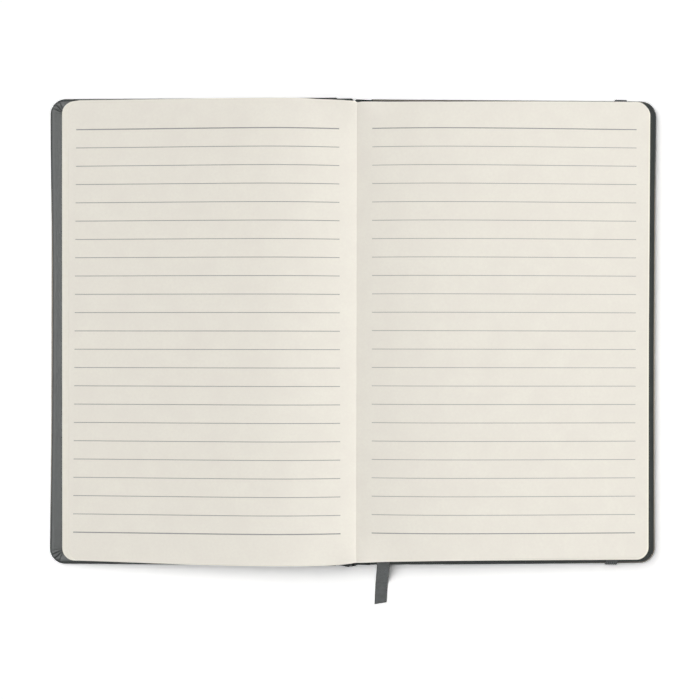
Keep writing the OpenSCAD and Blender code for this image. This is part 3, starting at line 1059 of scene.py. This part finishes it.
def band_tree():
    """Cords side by side along a path, each a little wider than its share of the width, so that
    they touch.
    """
    tree = bpy.data.node_groups.new("ribbed_band", "GeometryNodeTree")
    tree.interface.new_socket(name="Geometry", in_out="OUTPUT", socket_type="NodeSocketGeometry")
    input_of(tree, "Path", "NodeSocketObject")
    input_of(tree, "Yarn", "NodeSocketMaterial")
    input_of(tree, "Cords", "NodeSocketInt", 6)
    input_of(tree, "Width", "NodeSocketFloat", 0.005)
    input_of(tree, "Thickness", "NodeSocketFloat", 0.0008)
    input_of(tree, "Across", "NodeSocketVector", (1, 0, 0))
    got = add(tree, "NodeGroupInput").outputs
    path = add(tree, "GeometryNodeObjectInfo", {"Object": got["Path"]}, transform_space="RELATIVE")
    curve = add(tree, "GeometryNodeMeshToCurve", {"Mesh": path.outputs["Geometry"]})
    pitch = add(tree, "ShaderNodeMath", {0: got["Width"], 1: got["Cords"]}, operation="DIVIDE")
    step = add(
        tree,
        "ShaderNodeVectorMath",
        {0: got["Across"], "Scale": pitch.outputs["Value"]},
        operation="SCALE",
    )
    gaps = add(tree, "ShaderNodeMath", {0: got["Cords"], 1: 1.0}, operation="SUBTRACT")
    half = add(tree, "ShaderNodeMath", {0: gaps.outputs["Value"], 1: -0.5}, operation="MULTIPLY")
    start = add(
        tree,
        "ShaderNodeVectorMath",
        {0: step.outputs["Vector"], "Scale": half.outputs["Value"]},
        operation="SCALE",
    )
    places = add(
        tree,
        "GeometryNodeMeshLine",
        {
            "Count": got["Cords"],
            "Start Location": start.outputs["Vector"],
            "Offset": step.outputs["Vector"],
        },
    )
    ring = add(tree, "GeometryNodeCurvePrimitiveCircle", {"Resolution": 12, "Radius": 0.5})
    wide = add(tree, "ShaderNodeMath", {0: pitch.outputs["Value"], 1: 1.06}, operation="MULTIPLY")
    size = add(
        tree, "ShaderNodeCombineXYZ", {"X": got["Thickness"], "Y": wide.outputs["Value"], "Z": 1.0}
    )
    oval = add(
        tree,
        "GeometryNodeTransform",
        {"Geometry": ring.outputs["Curve"], "Scale": size.outputs["Vector"]},
    )
    turned = add(
        tree,
        "GeometryNodeSetCurveNormal",
        {"Curve": curve.outputs["Curve"]},
        mode="MINIMUM_TWIST",
    )
    cord = add(
        tree,
        "GeometryNodeCurveToMesh",
        {
            "Curve": turned.outputs["Curve"],
            "Profile Curve": oval.outputs["Geometry"],
            "Fill Caps": True,
        },
    )
    placed = add(
        tree,
        "GeometryNodeInstanceOnPoints",
        {"Points": places.outputs["Mesh"], "Instance": cord.outputs["Mesh"]},
    )
    real = add(tree, "GeometryNodeRealizeInstances", {"Geometry": placed.outputs["Instances"]})
    smooth = add(tree, "GeometryNodeSetShadeSmooth", {"Geometry": real.outputs["Geometry"]})
    yarn = add(
        tree,
        "GeometryNodeSetMaterial",
        {"Geometry": smooth.outputs["Geometry"], "Material": got["Yarn"]},
    )
    add(tree, "NodeGroupOutput", {"Geometry": yarn.outputs["Geometry"]})
    return tree


def band_spot(across, y, up):
    """A point of the band on the back cover, with the band's slight turn."""
    along = BAND_X + across * math.cos(BAND_SKEW) + y * math.sin(BAND_SKEW)
    return on_cover("back", along, y * math.cos(BAND_SKEW) - across * math.sin(BAND_SKEW), up)


def dense(path, steps):
    return [a.lerp(b, i / steps) for a, b in zip(path, path[1:]) for i in range(steps)] + [path[-1]]


path = dense(band_path(), 2)
guide_mesh = bpy.data.meshes.new("band_guide")
guide_mesh.from_pydata(
    [tuple(band_spot(0, p.x, p.y)) for p in path], [(i, i + 1) for i in range(len(path) - 1)], []
)
guide = bpy.data.objects.new("band_guide", guide_mesh)
bpy.context.scene.collection.objects.link(guide)
across = (band_spot(1, 0, 0) - band_spot(0, 0, 0)).normalized()
band = grown(
    "elastic_band_cords",
    band_tree(),
    {
        "Path": guide,
        "Yarn": elastic,
        "Cords": CORDS,
        "Width": BAND_W * MM,
        "Thickness": BAND_T * MM,
        "Across": tuple(across),
    },
)
bpy.data.objects.remove(guide)
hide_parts("elastic_band")
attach(band, "back_cover")


# The book lies on a plain white table under soft studio light, seen from straight
# above. A soft key from the upper left lays a short shadow, a large light from the
# right models the pages, and a softbox on the left gives the covering its sheen.

CAMERA = Vector((-7.2276, 0.3114, 550)) * MM
FOCUS_PX = 1206.44
PICTURE_PX = 700
SENSOR_MM = 36
# Turns about the three axes, in radians
TILT_X, TILT_Y, TURN = 0.00088, -0.0101, 0.00178

scene = bpy.context.scene
scene.view_settings.view_transform = "Standard"

WHITE = 1.5
AMBIENT = 0.25
bpy.ops.mesh.primitive_plane_add(size=6)
table = bpy.context.object
table.name = "table"
white, tree, shader = new_material("white_table", Roughness=0.9, Specular_IOR_Level=0.1)
shader.inputs["Base Color"].default_value = linear("#fbfbfb")
# The camera sees the table lit by the key lamp and the room alone, at full white
to_key = add(tree, "ShaderNodeCombineXYZ", {"X": -0.55, "Y": 0.3, "Z": 0.78})
seen = add(
    tree,
    "ShaderNodeBsdfDiffuse",
    {"Color": (WHITE, WHITE, WHITE, 1), "Normal": to_key.outputs["Vector"]},
)
rays = add(tree, "ShaderNodeLightPath").outputs["Is Camera Ray"]
either = add(
    tree, "ShaderNodeMixShader", {0: rays, 1: shader.outputs["BSDF"], 2: seen.outputs["BSDF"]}
)
tree.links.new(either.outputs["Shader"], tree.nodes["Material Output"].inputs["Surface"])
table.data.materials.append(white)

world = bpy.data.worlds.new("studio")
scene.world = world
world.use_nodes = True
tree = world.node_tree
rays = add(tree, "ShaderNodeLightPath").outputs
seen = add(
    tree,
    "ShaderNodeMath",
    {0: rays["Is Camera Ray"], 1: rays["Is Glossy Ray"]},
    operation="MAXIMUM",
)
level = add(
    tree, "ShaderNodeMapRange", {"Value": seen.outputs["Value"], "To Min": AMBIENT, "To Max": 1.0}
)
tree.links.new(level.outputs["Result"], tree.nodes["Background"].inputs["Strength"])
tree.nodes["Background"].inputs["Color"].default_value = (1, 1, 1, 1)


def lamp(name, kind, towards, distance, energy, **settings):
    """A lamp that shines along a direction at the middle of the book, from a distance."""
    data = bpy.data.lights.new(name, kind)
    data.energy = energy
    for key, value in settings.items():
        setattr(data, key, value)
    made = bpy.data.objects.new(name, data)
    scene.collection.objects.link(made)
    made.location = -Vector(towards).normalized() * distance
    made.rotation_mode = "QUATERNION"
    made.rotation_quaternion = Vector(towards).to_track_quat("-Z", "Y")
    made.visible_camera = False
    return made


lamp("key", "SUN", (0.4, -0.225, -0.885), distance=2, energy=1.57, angle=math.radians(50))
fill = lamp("page_fill", "AREA", (-0.9, 0, -0.43), distance=3.2, energy=76, shape="DISK", size=2.2)
fill.visible_glossy = False
gloss = lamp(
    "left_softbox", "SUN", (0.57, -0.05, -0.82), distance=2, energy=5.6, angle=math.radians(60)
)
gloss.visible_diffuse = False

eye = bpy.data.cameras.new("eye")
eye.sensor_width = SENSOR_MM
eye.lens = FOCUS_PX / PICTURE_PX * SENSOR_MM
eye.clip_start, eye.clip_end = 0.01, 20
camera = bpy.data.objects.new("camera", eye)
scene.collection.objects.link(camera)
turn = Matrix.Rotation(TURN, 4, "Z") @ Matrix.Rotation(TILT_Y, 4, "Y") @ Matrix.Rotation(
    TILT_X, 4, "X"
)
camera.matrix_world = Matrix.Translation(CAMERA) @ turn
scene.camera = camera
